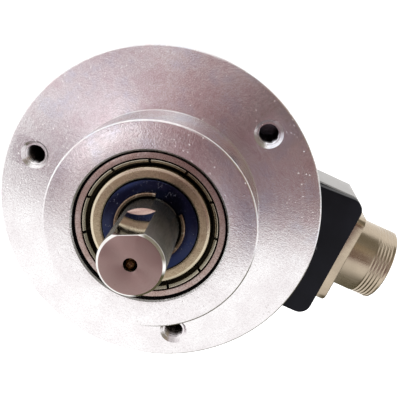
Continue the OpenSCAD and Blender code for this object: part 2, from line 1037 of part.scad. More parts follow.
module cable_socket() {
    color([0.9, 0.88, 0.8])
        difference() {
            translate([socket_x, -cable_w / 2 - 1, main_top])
                cube([cable_start + 0.5 - socket_x, cable_w + 2, socket_h]);
            translate([cable_start, -cable_w / 2 - 0.05, cable_z(cable_start) - cable_t / 2 - 0.05])
                cube([1, cable_w + 0.1, cable_t + 0.1]);
        }
}

flange();
shaft();
shaft_snap_ring();
front_bearing_outer_ring();
front_bearing_inner_ring();
front_bearing_balls();
front_bearing_cage();
front_bearing_shields();
front_bearing_shield_rings();
rear_bearing_outer_ring();
rear_bearing_inner_ring();
rear_bearing_balls();
rear_bearing_cage();
rear_bearing_shields();
rear_bearing_shield_rings();
wave_spring();
shaft_circlip();
disc_hub();
hub_grub_screws();
code_disc();
disc_clamp_ring();
led_holder();
led();
condenser_lens();
reticle();
sensor_chip();
scanning_board();
signal_chips();
front_standoffs();
main_board();
line_drivers();
capacitors();
board_header();
rear_standoffs();
board_screws();
connector_housing();
housing_o_ring();
cover_gasket();
rear_cover();
cover_screws();
connector_shell();
connector_insert();
connector_pins();
connector_o_ring();
connector_screws();
connector_board();
flat_cable();
cable_socket();
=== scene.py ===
"""Looks of a rotary encoder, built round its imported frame. The frame is in metres, +Z out along the shaft.

Outlines below are written in millimetres and scaled once, when a mesh is made.
"""
import json
import math

import bmesh
import bpy
from mathutils import Matrix, Vector


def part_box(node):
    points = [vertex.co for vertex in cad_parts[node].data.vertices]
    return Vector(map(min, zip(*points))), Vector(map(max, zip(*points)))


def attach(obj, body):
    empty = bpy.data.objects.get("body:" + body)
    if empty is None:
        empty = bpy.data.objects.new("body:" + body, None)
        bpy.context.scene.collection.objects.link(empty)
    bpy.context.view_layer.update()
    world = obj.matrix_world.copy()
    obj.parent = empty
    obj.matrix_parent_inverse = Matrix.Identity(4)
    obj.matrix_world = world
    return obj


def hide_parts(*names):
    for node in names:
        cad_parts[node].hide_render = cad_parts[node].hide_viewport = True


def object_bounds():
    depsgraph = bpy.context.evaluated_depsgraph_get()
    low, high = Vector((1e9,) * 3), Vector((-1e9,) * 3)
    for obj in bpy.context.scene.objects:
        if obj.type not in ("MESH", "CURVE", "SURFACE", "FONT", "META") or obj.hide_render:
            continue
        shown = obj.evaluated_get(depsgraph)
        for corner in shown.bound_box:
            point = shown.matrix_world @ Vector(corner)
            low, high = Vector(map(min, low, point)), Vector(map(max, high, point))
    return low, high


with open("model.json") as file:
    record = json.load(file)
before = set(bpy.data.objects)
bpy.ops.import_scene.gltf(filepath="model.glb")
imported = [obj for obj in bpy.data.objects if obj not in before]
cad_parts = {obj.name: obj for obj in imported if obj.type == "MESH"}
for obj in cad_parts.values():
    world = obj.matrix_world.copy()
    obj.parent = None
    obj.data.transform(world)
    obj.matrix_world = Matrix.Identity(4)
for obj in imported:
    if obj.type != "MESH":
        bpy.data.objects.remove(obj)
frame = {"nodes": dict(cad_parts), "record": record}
cad_low, cad_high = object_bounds()
nodes = frame["nodes"]

MM = 0.001
TURN = 2 * math.pi
SHARP = math.radians(32)


def millimetres(node):
    """Lowest and highest corner of a CAD node in millimetres."""
    low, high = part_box(node)
    return low / MM, high / MM


# ---------------------------------------------------------------- measures, in millimetres and degrees
shaft_low, shaft_high = millimetres("shaft")
shell_low, shell_high = millimetres("connector_shell")
housing_low, housing_high = millimetres("connector_housing")
snap_low, snap_high = millimetres("shaft_snap_ring")
flange_high = millimetres("flange")[1]

FLANGE_R = flange_high.x
FLANGE_T = 4.0
COLLAR_R = 18.0
COLLAR_H = flange_high.z
HOLE_ANGLES = (60, 180, 300)
HOLE_R = 24.0
HOLE_THREAD_R = 2.0
COLUMN_R = 20.7
POST_ANGLES = (30, 150, 270)
POST_R = 21.0

SHAFT_R = shaft_high.x
SHAFT_TOP = shaft_high.z
FLAT_ANGLE = 117
FLAT_OUT = SHAFT_R - 0.55
FLAT_LOW = SHAFT_TOP - 11
GRUB_Z = -15.25
SNAP_GAP_ANGLE = 75

BEARING_R = 13.0
BEARING_HALF = 4.0
SIDES = ("front", "rear")
BEARING_Z = {side: sum(v.z for v in millimetres(side + "_bearing_outer_ring")) / 2 for side in SIDES}
OUTER_SHOULDER = 10.6
INNER_SHOULDER = 8.0
BALL_CIRCLE_R = 9.0
GROOVE_R = 2.45
SHIELD_SEAT = 2.5
NOTCHES = 11

BOSS_HALF = 13.55
BOSS_DRAFT = 0.65
BOSS_X = housing_high.x
BOSS_CORNER = 2.5
BOSS_TOP = -15.7

CONNECTOR_Z = (shell_low.z + shell_high.z) / 2
PLATE_HALF = 10
PLATE_END = shell_low.x + 2.64
PLATE_SCREW = 7.5
BARREL_R = 7.87
BARREL_END = shell_high.x
MOUTH_R = 6.6


# ---------------------------------------------------------------- meshes
def placed(name, data):
    """A new object in the scene that shows the given data."""
    made = bpy.data.objects.new(name, data)
    bpy.context.scene.collection.objects.link(made)
    return made


def tidy(piece, sharp=SHARP):
    """Merges doubled points, turns faces outwards and shades smooth except at edges over the angle."""
    shape = bmesh.new()
    shape.from_mesh(piece.data)
    bmesh.ops.remove_doubles(shape, verts=shape.verts, dist=1e-7)
    bmesh.ops.dissolve_degenerate(shape, edges=shape.edges, dist=1e-7)
    loose = [edge for edge in shape.edges if not edge.link_faces]
    bmesh.ops.delete(shape, geom=loose, context="EDGES")
    bmesh.ops.recalc_face_normals(shape, faces=shape.faces)
    shape.to_mesh(piece.data)
    shape.free()
    piece.data.shade_smooth()
    piece.data.set_sharp_from_angle(angle=sharp)


def mesh_object(name, points, faces):
    """An object made from points in millimetres."""
    mesh = bpy.data.meshes.new(name)
    mesh.from_pydata([Vector(p) * MM for p in points], [], faces)
    made = placed(name, mesh)
    tidy(made)
    return made


def at(radius, degrees):
    """A point in the plan by its distance and direction from the origin."""
    angle = math.radians(degrees)
    return (radius * math.cos(angle), radius * math.sin(angle))


def soften(corners, steps):
    """Closed outline with rounded corners: a corner is (a, b) or (a, b, radius)."""
    outline = []
    for i, corner in enumerate(corners):
        here = Vector(corner[:2])
        radius = corner[2] if len(corner) > 2 else 0
        if not radius:
            outline.append(tuple(here))
            continue
        before = (Vector(corners[i - 1][:2]) - here).normalized()
        after = (Vector(corners[(i + 1) % len(corners)][:2]) - here).normalized()
        half = before.angle(after) / 2
        centre = here + (before + after).normalized() * radius / math.sin(half)
        start = here + before * radius / math.tan(half) - centre
        end = here + after * radius / math.tan(half) - centre
        sweep = math.atan2(start.x * end.y - start.y * end.x, start.dot(end))
        for k in range(steps + 1):
            angle = sweep * k / steps
            turned = Vector((start.x * math.cos(angle) - start.y * math.sin(angle),
                             start.x * math.sin(angle) + start.y * math.cos(angle)))
            outline.append(tuple(centre + turned))
    return outline


def about(axis, first=0.0, second=0.0):
    """A placer for turned shapes: radius, angle and height round a line along that axis become a point."""
    order = {"X": (2, 0, 1), "Y": (0, 2, 1), "Z": (0, 1, 2)}[axis]

    def place(r, angle, h):
        parts = (first + r * math.cos(angle), second + r * math.sin(angle), h)
        return tuple(parts[i] for i in order)

    return place


along_z = about("Z")
along_x = about("X", 0.0, CONNECTOR_Z)


def lathe(name, outline, steps, where=along_z, sweep=TURN, start=0.0):
    """Turns a closed outline of (radius, height) corners about an axis; radii of 0 close on the axis."""
    full = abs(sweep - TURN) < 1e-9
    columns = steps if full else steps + 1
    points = [where(r, start + sweep * i / steps, h) for i in range(columns) for r, h in outline]
    n = len(outline)
    faces = []
    for i in range(steps):
        a, b = i * n, (i + 1) % columns * n
        for k in range(n):
            m = (k + 1) % n
            faces.append((a + k, b + k, b + m, a + m))
    if not full:
        faces.append(tuple(range(n)))
        faces.append(tuple(steps * n + k for k in reversed(range(n))))
    return mesh_object(name, points, faces)


def stacked(rings, count):
    """Faces of a closed body whose points are that many rings of that many points, from low to high."""
    faces = [tuple(reversed(range(count)))]
    for j in range(rings - 1):
        for i in range(count):
            m = (i + 1) % count
            faces.append((j * count + i, j * count + m, (j + 1) * count + m, (j + 1) * count + i))
    faces.append(tuple((rings - 1) * count + i for i in range(count)))
    return faces


def threaded(name, radius, low, high, pitch, depth, where, steps, rows, fade):
    """A closed threaded rod: radius at the crests, less depth in the grooves, fading out at both ends."""
    levels = int((high - low) / pitch * rows)
    points = []
    for j in range(levels + 1):
        h = low + (high - low) * j / levels
        strength = min(1.0, (high - h) / (fade * pitch), (h - low) / (fade * pitch))
        for i in range(steps):
            phase = (h / pitch - i / steps) % 1.0
            groove = min(1.0, max(0.0, (abs(2 * phase - 1) - 0.12) / 0.76))
            r = radius - depth * groove * max(0.0, strength)
            points.append(where(r, TURN * i / steps, h))
    return mesh_object(name, points, stacked(levels + 1, steps))


def upright(a, b, h):
    """Places a slab's outline in the plan."""
    return (a, b, h)


def facing_x(a, b, h):
    """Places a slab's outline square to the connector's axis."""
    return (h, a, CONNECTOR_Z + b)


def slab(name, outline, low, high, edge=0.0, steps=3, where=upright):
    """An outline, anticlockwise, pulled up between two heights, with its rims rounded."""
    count = len(outline)
    ring = [Vector(p) for p in outline]
    outward = []
    for i in range(count):
        a = (ring[i] - ring[i - 1]).normalized()
        b = (ring[(i + 1) % count] - ring[i]).normalized()
        bend = Vector((a.y + b.y, -a.x - b.x))
        bend.normalize()
        outward.append(bend / max(0.3, bend.dot(Vector((a.y, -a.x)))))
    levels = [(0.0, low)]
    if edge:
        turns = [math.pi / 2 * k / steps for k in range(steps + 1)]
        levels = [(edge * (1 - math.sin(turn)), low + edge * (1 - math.cos(turn))) for turn in turns]
    levels += [(inset, low + high - h) for inset, h in reversed(levels)]
    points = [where(*(p - n * inset), h) for inset, h in levels for p, n in zip(ring, outward)]
    return mesh_object(name, points, stacked(len(levels), count))


def apply_changes(piece):
    """Gives a piece the mesh that its modifiers make."""
    bpy.context.view_layer.update()
    result = bpy.data.meshes.new_from_object(piece.evaluated_get(bpy.context.evaluated_depsgraph_get()))
    piece.modifiers.clear()
    old = piece.data
    piece.data = result
    bpy.data.meshes.remove(old)


def combine(piece, others, operation="DIFFERENCE"):
    """Cuts the other solids from a piece, or joins them to it, and removes them."""
    for other in others:
        change = piece.modifiers.new("cut", "BOOLEAN")
        change.operation = operation
        change.solver = "EXACT"
        change.object = other
    apply_changes(piece)
    for other in others:
        bpy.data.meshes.remove(other.data)
    tidy(piece)
    return piece


def merged(name, parts):
    """One object holding the meshes of several, which are removed."""
    shape = bmesh.new()
    for part in parts:
        shape.from_mesh(part.data)
    mesh = bpy.data.meshes.new(name)
    shape.to_mesh(mesh)
    shape.free()
    for part in parts:
        bpy.data.meshes.remove(part.data)
    made = placed(name, mesh)
    tidy(made)
    return made


def rod(name, radius, low, high, centre=(0, 0), steps=48, tip=None):
    """A plain closed pin along Z for cutting; its low end may have another radius."""
    rim = radius if tip is None else tip
    return lathe(name, [(0, low), (rim, low), (radius, high), (0, high)], steps, about("Z", *centre))


def bevelled(node, name, width):
    """A copy of a CAD node whose sharp edges are rounded."""
    mesh = nodes[node].data.copy()
    made = placed(name, mesh)
    shape = bmesh.new()
    shape.from_mesh(mesh)
    bmesh.ops.remove_doubles(shape, verts=shape.verts, dist=2e-7)
    bmesh.ops.dissolve_limit(shape, angle_limit=math.radians(0.5), verts=shape.verts, edges=shape.edges)
    shape.to_mesh(mesh)
    shape.free()
    change = made.modifiers.new("rounding", "BEVEL")
    change.width = width * MM
    change.segments = 3
    change.limit_method = "ANGLE"
    change.angle_limit = math.radians(40)
    apply_changes(made)
    tidy(made)
    return made


# ---------------------------------------------------------------- materials
class Nodes:
    """Short forms for making the nodes of a tree."""

    def __init__(self, tree):
        self.tree = tree

    def add(self, kind, inputs=(), **settings):
        """A new node with its settings, its inputs linked or set."""
        node = self.tree.nodes.new(kind)
        for key, value in settings.items():
            setattr(node, key, value)
        for key, value in dict(inputs).items():
            if isinstance(value, bpy.types.NodeSocket):
                self.tree.links.new(value, node.inputs[key])
            else:
                node.inputs[key].default_value = value
        return node

    def math(self, operation, a, b=0.0):
        return self.add("ShaderNodeMath", {0: a, 1: b}, operation=operation).outputs[0]

    def both(self, a, b):
        """Product of two masks."""
        return self.math("MULTIPLY", a, b)

    def vector(self, operation, a, b=(0, 0, 0)):
        return self.add("ShaderNodeVectorMath", {0: a, 1: b}, operation=operation)

    def span(self, value, low, high, to_low=0.0, to_high=1.0):
        """A soft step from one value to another as the input goes from low to high."""
        inputs = {"Value": value, "From Min": low, "From Max": high, "To Min": to_low, "To Max": to_high}
        return self.add("ShaderNodeMapRange", inputs, interpolation_type="SMOOTHSTEP").outputs[0]

    def mix(self, factor, a, b):
        """The colour a where the factor is 0, and b where it is 1."""
        colours = [value if isinstance(value, bpy.types.NodeSocket) else (*value, 1) for value in (a, b)]
        inputs = {0: factor, 6: colours[0], 7: colours[1]}
        return self.add("ShaderNodeMix", inputs, data_type="RGBA").outputs[2]


class Recipe(Nodes):
    """A node material: one Principled shader and the nodes that feed it.

    The values given at the start are the plain look, and the nodes fed in later refine it.
    """

    def __init__(self, name, colour, **sockets):
        self.material = bpy.data.materials.new(name)
        self.material.use_nodes = True
        super().__init__(self.material.node_tree)
        self.shader = self.tree.nodes["Principled BSDF"]
        self.shader.inputs["Base Color"].default_value = (*colour, 1)
        for key, value in sockets.items():
            self.shader.inputs[key.replace("_", " ")].default_value = value
        self.place = self.add("ShaderNodeTexCoord").outputs["Object"]

    def feed(self, socket, value):
        self.tree.links.new(value, self.shader.inputs[socket])

    def coordinate(self, axis):
        """Place along X, Y or Z in millimetres."""
        return self.math("DIVIDE", self.add("ShaderNodeSeparateXYZ", {0: self.place}).outputs[axis], MM)

    def radius(self, centre=(0, 0, 0), keep=(1, 1, 0)):
        """Distance from an axis in millimetres."""
        offset = self.vector("SUBTRACT", self.place, [c * MM for c in centre]).outputs[0]
        flat = self.vector("MULTIPLY", offset, [k / MM for k in keep]).outputs[0]
        return self.vector("LENGTH", flat).outputs["Value"]

    def noise(self, size, detail=2.0, rough=0.5):
        """Noise from 0 to 1 whose lumps are about size millimetres across."""
        inputs = {"Vector": self.place, "Scale": 1 / (size * MM), "Detail": detail, "Roughness": rough}
        return self.add("ShaderNodeTexNoise", inputs).outputs["Fac"]

    def rings(self, distance, pitch):
        """Turning marks: one-dimensional noise along a distance, with that pitch."""
        inputs = {"W": self.math("DIVIDE", distance, pitch), "Scale": 1.0, "Detail": 3.0, "Roughness": 0.6}
        return self.add("ShaderNodeTexNoise", inputs, noise_dimensions="1D").outputs["Fac"]

    def scratches(self, size, share, seed, stretch):
        """Fine random lines: the thin walls between stretched cells, kept in a few patches."""
        turned = self.add("ShaderNodeMapping", {"Vector": self.place, "Rotation": (seed, 2 * seed, 3 * seed),
                                                "Scale": stretch}).outputs[0]
        cells = self.add("ShaderNodeTexVoronoi", {"Vector": turned, "Scale": 1 / (size * MM)},
                         feature="DISTANCE_TO_EDGE").outputs[0]
        line = self.span(cells, 0.0, 0.035, 1.0, 0.0)
        patch = self.span(self.noise(1.6 * size, 2.0), 1 - share, 1.06 - share)
        return self.both(line, patch)

    def bump(self, height, depth, under=None):
        """Adds relief; depth is in millimetres."""
        inputs = {"Height": height, "Distance": depth * MM, "Strength": 1.0}
        if under is not None:
            inputs["Normal"] = under
        return self.add("ShaderNodeBump", inputs).outputs[0]

    def brush_round(self, axis="Z"):
        """Stretches the gloss across marks that run round an axis."""
        self.shader.inputs["Anisotropic Rotation"].default_value = 0.25
        self.feed("Tangent", self.add("ShaderNodeTangent", direction_type="RADIAL", axis=axis).outputs[0])


def turned_metal(name, colour, rough, pitch, grain=0.2, spread=0.06, axis="Z", relief=0.004, aniso=0.0):
    """Machined metal: turning marks round an axis, fine grain and faint smudges."""
    made = Recipe(name, colour, Metallic=1.0, Roughness=rough, Anisotropic=aniso)
    radius = made.radius() if axis == "Z" else made.radius((0, 0, CONNECTOR_Z), (0, 1, 1))
    marks = made.rings(radius, pitch)
    fine = made.noise(grain, 3.0, 0.6)
    smudge = made.noise(7.0, 3.0, 0.55)
    shade = made.mix(made.span(smudge, 0.35, 0.7), colour, [0.9 * c for c in colour])
    shade = made.mix(made.span(fine, 0.3, 0.75, 0.0, 0.22), shade, [0.62 * c for c in colour])
    made.feed("Base Color", shade)
    gloss = made.math("ADD", made.span(smudge, 0.3, 0.7, rough - spread, rough + spread),
                      made.span(marks, 0.3, 0.7, -spread / 2, spread / 2))
    made.feed("Roughness", gloss)
    made.feed("Normal", made.bump(fine, 0.004, under=made.bump(marks, relief)))
    if aniso:
        made.brush_round(axis)
    return made.material


def plastic(name, colour, rough, grain=0.25, relief=0.006, specular=0.5, lighter=1.25, mark=0.0):
    """Moulded plastic or paint: fine grain, a faint change of shade and rubbed spots."""
    made = Recipe(name, colour, Roughness=rough, Specular_IOR_Level=specular)
    fine = made.noise(grain, 3.0, 0.6)
    cloud = made.noise(6.0, 3.0, 0.5)
    shade = made.mix(made.span(cloud, 0.35, 0.7), colour, [min(1.0, lighter * c) for c in colour])
    if mark:
        spots = made.scratches(2.4, 0.30, 0.4, (0.4, 1, 1))
        shade = made.mix(made.both(spots, mark), shade, (0.35, 0.35, 0.36))
    made.feed("Base Color", shade)
    made.feed("Roughness", made.span(cloud, 0.3, 0.7, rough - 0.06, rough + 0.06))
    made.feed("Normal", made.bump(fine, relief))
    return made.material


def glass(name, colour):
    """Clear optical glass with the faintest surface haze."""
    made = Recipe(name, colour, Roughness=0.02, IOR=1.5, Transmission_Weight=1.0)
    made.feed("Roughness", made.span(made.noise(3.0), 0.3, 0.8, 0.01, 0.05))
    return made.material


def circuit_board(name):
    """Green solder resist over copper tracks that run square to each other."""
    made = Recipe(name, (0.012, 0.10, 0.05), Roughness=0.32, Coat_Weight=0.3, Coat_Roughness=0.15)
    inputs = {"Vector": made.place, "Scale": 1 / (4.0 * MM), "Mortar Size": 0.035, "Brick Width": 0.9,
              "Row Height": 0.35}
    tracks = made.add("ShaderNodeTexBrick", inputs, offset=0.37).outputs["Fac"]
    copper = made.both(tracks, made.span(made.noise(9.0), 0.4, 0.5))
    made.feed("Base Color", made.mix(copper, (0.010, 0.085, 0.045), (0.03, 0.19, 0.09)))
    made.feed("Normal", made.bump(copper, 0.03))
    return made.material


def flange_metal(name):
    """Turned aluminium, sandy, nicked and clouded, with reddish and bluish patches towards +Y; its tapped
    holes are painted dark as shade deeper than the countersink.
    """
    colour = (0.87, 0.86, 0.87)
    made = Recipe(name, colour, Metallic=1.0, Roughness=0.21, Anisotropic=0.35)
    marks = made.rings(made.radius(), 0.5)
    sand = made.noise(0.30, 3.0, 0.70)
    coarse = made.noise(0.75, 2.0, 0.6)
    cloud = made.noise(9.0, 4.0, 0.6)
    shade = made.mix(made.span(cloud, 0.35, 0.68), colour, (0.80, 0.77, 0.785))
    shade = made.mix(made.span(sand, 0.42, 0.70, 0.0, 0.34), shade, (0.50, 0.47, 0.48))
    shade = made.mix(made.span(coarse, 0.50, 0.74, 0.0, 0.18), shade, (0.55, 0.50, 0.52))

    cells = made.add("ShaderNodeTexVoronoi", {"Vector": made.place, "Scale": 1 / (0.7 * MM)}).outputs
    lot = made.add("ShaderNodeSeparateColor", {0: cells["Color"]}).outputs[0]
    worn = made.span(made.noise(11.0, 2.0), 0.40, 0.55)
    nick = made.both(made.span(cells["Distance"], 0.06, 0.22, 1.0, 0.0), made.span(lot, 0.62, 0.65))
    nick = made.both(nick, worn)
    shade = made.mix(made.both(nick, 0.65), shade, (1.0, 1.0, 1.0))

    # Painted shade: the tapped holes are painted near-black from just under the face down, for the shade deep
    # in them.
    nearest = made.radius((*at(HOLE_R, HOLE_ANGLES[0]), 0))
    for angle in HOLE_ANGLES[1:]:
        nearest = made.math("MINIMUM", nearest, made.radius((*at(HOLE_R, angle), 0)))
    in_hole = made.span(nearest, HOLE_THREAD_R + 0.05, HOLE_THREAD_R + 0.15, 1.0, 0.0)
    hole_shade = made.both(in_hole, made.span(made.coordinate("Z"), -2.8, -0.60, 1.0, 0.0))
    shade = made.mix(hole_shade, shade, (0.06, 0.052, 0.046))

    # Reddish and bluish patches, only on the +Y half.
    towards_plus_y = made.span(made.coordinate("Y"), -2.0, 12.0)
    tint = made.noise(6.0, 3.0, 0.6)
    red = made.both(made.span(tint, 0.46, 0.68, 0.0, 0.38), towards_plus_y)
    blue = made.both(made.span(tint, 0.34, 0.50, 0.30, 0.0), towards_plus_y)
    shade = made.mix(red, shade, (0.70, 0.54, 0.57))
    shade = made.mix(blue, shade, (0.62, 0.68, 0.84))
    made.feed("Base Color", shade)

    gloss = made.math("ADD", made.span(cloud, 0.3, 0.7, 0.19, 0.25), made.span(marks, 0.3, 0.7, -0.02, 0.02))
    made.feed("Roughness", gloss)
    normal = made.bump(marks, 0.0025)
    normal = made.bump(sand, 0.021, under=normal)
    normal = made.bump(coarse, 0.009, under=normal)
    made.feed("Normal", made.bump(nick, -0.03, under=normal))
    made.brush_round()
    return made.material


def shaft_metal(name):
    """Ground steel round the side, painted dark there as shade, mirror-bright on the flat, duller and warmer
    on the turned end face; the end chamfer carries a painted highlight, the flat's lower end a painted glint,
    and the centre hole is painted brown for its shade and glint.
    """
    # The side's dark tone is painted shade for the dark surroundings it mirrors.
    side, face, flat = (0.22, 0.235, 0.215), (0.35, 0.243, 0.23), (0.84, 0.83, 0.80)
    made = Recipe(name, side, Metallic=1.0, Roughness=0.2, Anisotropic=0.85)
    height = made.coordinate("Z")
    radius = made.radius()
    cloud = made.noise(2.6, 3.0, 0.55)
    end = made.span(height, SHAFT_TOP - 0.06, SHAFT_TOP - 0.02)
    rim = made.span(height, SHAFT_TOP - 0.50, SHAFT_TOP - 0.40)
    chamfer = made.both(rim, made.math("SUBTRACT", 1.0, end))
    milled = made.both(made.span(radius, 4.95, 4.99, 1.0, 0.0),
                       made.span(height, FLAT_LOW + 0.02, FLAT_LOW + 0.06))
    milled = made.both(milled, made.math("SUBTRACT", 1.0, rim))
    # Painted glint: a thin warm bright line where the flat ends.
    flat_end_glint = made.both(made.span(height, FLAT_LOW - 0.02, FLAT_LOW - 0.01),
                     made.span(height, FLAT_LOW + 0.01, FLAT_LOW + 0.02, 1.0, 0.0))
    rust = made.span(made.noise(1.3, 3.0, 0.6), 0.62, 0.74, 0.0, 0.35)

    # Painted highlight: the end chamfer is painted near-white.
    shade = made.mix(end, made.mix(rim, made.mix(milled, side, flat), (0.88, 0.87, 0.85)), face)
    shade = made.mix(made.span(cloud, 0.35, 0.7, 0.0, 0.25), shade, (0.36, 0.29, 0.27))
    shade = made.mix(flat_end_glint, shade, (0.85, 0.68, 0.60))
    shade = made.mix(made.both(rust, end), shade, (0.25, 0.15, 0.12))
    # Painted shade and glint: the centre hole is painted brown.
    shade = made.mix(made.span(radius, 0.94, 1.06, 1.0, 0.0), shade, (0.42, 0.34, 0.25))
    made.feed("Base Color", shade)

    rough = made.math("ADD", made.span(end, 0.0, 1.0, 0.24, 0.31), made.both(milled, -0.20))
    rough = made.math("ADD", rough, made.both(chamfer, -0.14))
    made.feed("Roughness", made.math("ADD", rough, made.span(cloud, 0.3, 0.7, -0.01, 0.02)))
    turned = made.both(made.rings(radius, 0.16), end)
    ground = made.both(made.rings(height, 0.12), 0.15)
    normal = made.bump(made.math("ADD", turned, ground), 0.004)
    made.feed("Normal", made.bump(made.noise(0.3, 3.0, 0.6), 0.0005, under=normal))
    made.brush_round()
    return made.material


def outer_ring_metal(name):
    """Ground steel gone brown, its outer corner and its inner edges painted near-black as shade."""
    colour = (0.40, 0.30, 0.27)
    made = Recipe(name, colour, Metallic=1.0, Roughness=0.27)
    radius = made.radius()
    grit = made.noise(0.25, 3.0, 0.65)
    stain = made.noise(2.2, 3.0, 0.6)
    shade = made.mix(made.span(stain, 0.35, 0.7), colour, (0.46, 0.38, 0.36))
    shade = made.mix(made.span(grit, 0.42, 0.72, 0.0, 0.6), shade, (0.16, 0.09, 0.07))
    # Painted shade: near-black at the outer corner against the bore and inside the shield seat.
    shade = made.mix(made.span(radius, 12.5, 12.64), shade, (0.008, 0.007, 0.006))
    shade = made.mix(made.span(radius, 11.50, 11.66, 1.0, 0.0), shade, (0.012, 0.010, 0.008))
    made.feed("Base Color", shade)
    made.feed("Roughness", made.span(grit, 0.3, 0.7, 0.22, 0.34))
    made.feed("Normal", made.bump(grit, 0.006, under=made.bump(made.rings(radius, 0.2), 0.003)))
    return made.material


def shield_metal(name):
    """Zinc-plated pressing, yellowed, with a painted highlight on its shoulder and painted shade in the
    groove round it.
    """
    colour = (0.41, 0.34, 0.235)
    made = Recipe(name, colour, Metallic=1.0, Roughness=0.27)
    radius = made.radius()
    grain = made.noise(0.30, 3.0, 0.6)
    cloud = made.noise(3.0, 3.0, 0.6)
    # Painted highlight: the rounded shoulder is painted lighter.
    shoulder = made.both(made.span(radius, 9.50, 9.66), made.span(radius, 9.98, 10.06, 1.0, 0.0))
    face = BEARING_Z["front"] + BEARING_HALF
    # Painted shade: the deep groove between the dome and the rim is painted near-black.
    groove_shade = made.span(made.coordinate("Z"), face - 0.85, face - 0.42, 1.0, 0.0)
    shade = made.mix(made.span(cloud, 0.35, 0.7), colour, (0.36, 0.275, 0.185))
    shade = made.mix(made.span(grain, 0.42, 0.72, 0.0, 0.55), shade, (0.20, 0.15, 0.09))
    shade = made.mix(shoulder, shade, (0.66, 0.58, 0.44))
    shade = made.mix(groove_shade, shade, (0.010, 0.009, 0.006))
    made.feed("Base Color", shade)
    made.feed("Roughness", made.span(cloud, 0.3, 0.7, 0.22, 0.32))
    made.feed("Normal", made.bump(grain, 0.012, under=made.bump(made.rings(radius, 0.5), 0.003)))
    return made.material


def spring_metal(name):
    """Brown tempered strip; the snap ring's inner edge is painted near-black as shade where it meets the
    shaft.
    """
    colour = (0.25, 0.175, 0.125)
    made = Recipe(name, colour, Metallic=1.0, Roughness=0.26)
    grain = made.noise(0.28, 3.0, 0.65)
    shade = made.mix(made.span(grain, 0.40, 0.66, 0.0, 0.7), colour, (0.11, 0.065, 0.04))
    shade = made.mix(made.span(made.noise(0.9), 0.58, 0.66, 0.0, 0.6), shade, (0.55, 0.46, 0.38))
    # Painted shade: near-black on the inner edge, in the gap at the shaft's groove.
    shade = made.mix(made.span(made.radius(), 5.38, 5.50, 1.0, 0.0), shade, (0.012, 0.010, 0.008))
    made.feed("Base Color", shade)
    made.feed("Roughness", made.span(grain, 0.3, 0.7, 0.2, 0.36))
    made.feed("Normal", made.bump(grain, 0.010))
    return made.material


def inner_ring_metal(name):
    """Polished steel under a dark blue oil film, with bright flecks and fine scratches."""
    colour = (0.013, 0.018, 0.050)
    made = Recipe(name, colour, Metallic=1.0, Roughness=0.16)
    lines = made.scratches(0.55, 0.42, 0.7, (1, 0.3, 1))
    flecks = made.span(made.noise(0.22, 3.0, 0.7), 0.64, 0.74, 0.0, 0.8)
    bright = made.math("MAXIMUM", lines, flecks)
    shade = made.mix(made.span(made.noise(4.0), 0.35, 0.7), colour, (0.022, 0.026, 0.055))
    made.feed("Base Color", made.mix(bright, shade, (0.13, 0.135, 0.16)))
    made.feed("Roughness", made.span(bright, 0.0, 1.0, 0.15, 0.4))
    made.feed("Normal", made.bump(bright, -0.01, under=made.bump(made.rings(made.radius(), 0.25), 0.0015)))
    return made.material


MATERIALS = {
    "flange_aluminium": flange_metal("flange_aluminium"),
    "shaft_steel": shaft_metal("shaft_steel"),
    "bearing_steel": outer_ring_metal("bearing_steel"),
    "inner_ring_steel": inner_ring_metal("inner_ring_steel"),
    "shield_zinc": shield_metal("shield_zinc"),
    "retainer_steel": turned_metal("retainer_steel", (0.66, 0.60, 0.48), 0.22, 0.4),
    "spring_steel": spring_metal("spring_steel"),
    "cage_brass": turned_metal("cage_brass", (0.78, 0.60, 0.30), 0.25, 0.4),
    "hub_aluminium": turned_metal("hub_aluminium", (0.84, 0.84, 0.85), 0.25, 0.35),
    "screw_steel": turned_metal("screw_steel", (0.66, 0.66, 0.68), 0.26, 0.4, spread=0.05),
    "black_steel": turned_metal("black_steel", (0.06, 0.06, 0.065), 0.35, 0.4),
    "clear_glass": glass("clear_glass", (0.86, 0.93, 0.92)),
    "black_plastic": plastic("black_plastic", (0.004, 0.004, 0.006), 0.45, specular=0.09, lighter=1.5,
                             mark=0.15),
    "board_green": circuit_board("board_green"),
    "chip_black": plastic("chip_black", (0.015, 0.015, 0.017), 0.55),
    "led_plastic": plastic("led_plastic", (0.55, 0.03, 0.02), 0.12, relief=0.001),
    "cream_plastic": plastic("cream_plastic", (0.72, 0.66, 0.52), 0.45, lighter=1.05),
    "cable_film": plastic("cable_film", (0.62, 0.62, 0.58), 0.4, lighter=1.05),
    "capacitor_can": turned_metal("capacitor_can", (0.72, 0.72, 0.74), 0.22, 0.5),
    "seal_rubber": plastic("seal_rubber", (0.010, 0.010, 0.011), 0.7, relief=0.012, specular=0.3),
    "cover_grey": plastic("cover_grey", (0.31, 0.30, 0.29), 0.42, grain=0.35, relief=0.012, lighter=1.05),
    "connector_nickel": turned_metal("connector_nickel", (0.48, 0.40, 0.305), 0.27, 0.5, axis="X", grain=0.35,
                                     relief=0.003, aniso=0.4),
    "contact_gold": turned_metal("contact_gold", (0.90, 0.68, 0.30), 0.18, 0.4, axis="X"),
}

for part in frame["record"]["subparts"]:
    cad_mesh = nodes[part["node"]].data
    cad_mesh.materials.clear()
    cad_mesh.materials.append(MATERIALS[part["material_slot"]])


def finish_piece(piece, body, slot, node):
    """Gives a new piece its material and its body, and hides the CAD node it stands for."""
    piece.data.materials.clear()
    piece.data.materials.append(MATERIALS[slot])
    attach(piece, body)
    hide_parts(node)


